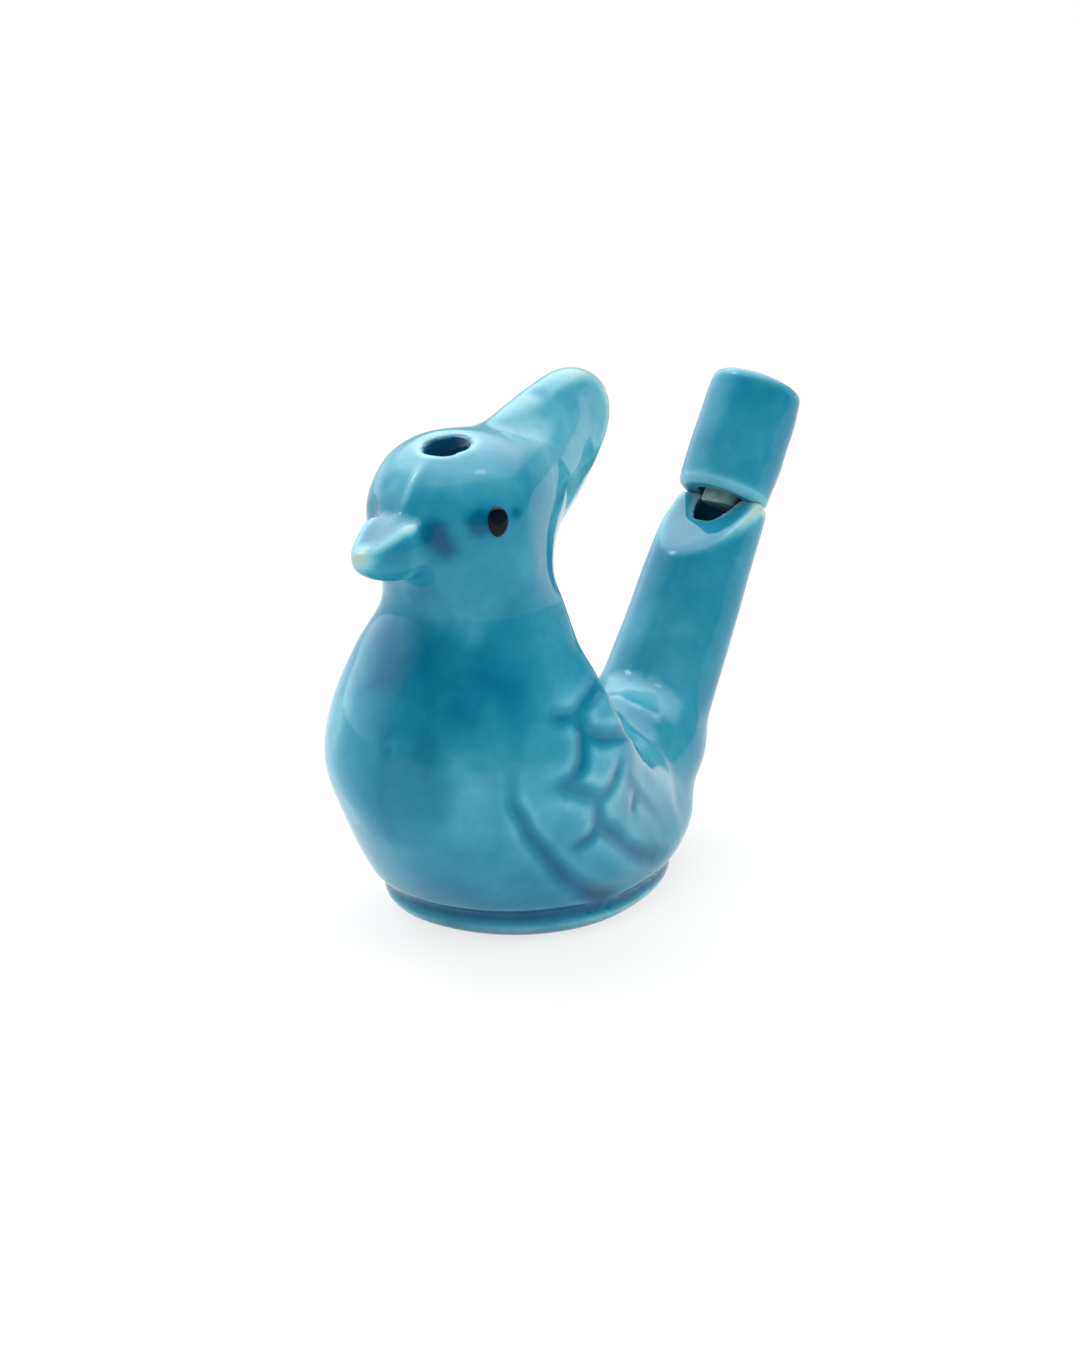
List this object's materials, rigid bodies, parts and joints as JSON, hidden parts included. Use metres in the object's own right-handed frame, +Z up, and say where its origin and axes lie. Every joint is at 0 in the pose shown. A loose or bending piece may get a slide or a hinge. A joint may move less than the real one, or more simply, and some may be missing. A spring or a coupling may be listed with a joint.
{
  "type": "ceramic bird whistle",
  "caption": "Small glazed ceramic bird with a hollow water chamber, a filling hole in the head and a tubular tail that ends in a fipple whistle mouthpiece.",
  "frame": {"origin": "middle of the foot on the flat underside of the base slab", "axes": "+Z up, -Y the way the bird faces, +X the bird's left side"},
  "size_m": [0.0352, 0.0863, 0.0619],
  "materials": {
    "turquoise_glaze": "glossy",
    "pooled_glaze": "glossy",
    "pale_glaze": "satin",
    "eye_enamel": "glossy"
  },
  "bodies": {
    "root": {"base_slab": "turquoise_glaze", "base_joint_slip": "pooled_glaze", "left_body_half": "turquoise_glaze", "right_body_half": "turquoise_glaze", "breast_seam_slip": "pooled_glaze", "nape_seam_slip": "pooled_glaze", "rump_seam_slip": "pooled_glaze", "left_eye": "eye_enamel", "right_eye": "eye_enamel", "tail_joint_slip": "pooled_glaze", "tail_tube": "turquoise_glaze", "mouthpiece_joint_slip": "pooled_glaze", "mouthpiece": "turquoise_glaze", "fipple_block": "pale_glaze"}
  },
  "joints": []
}
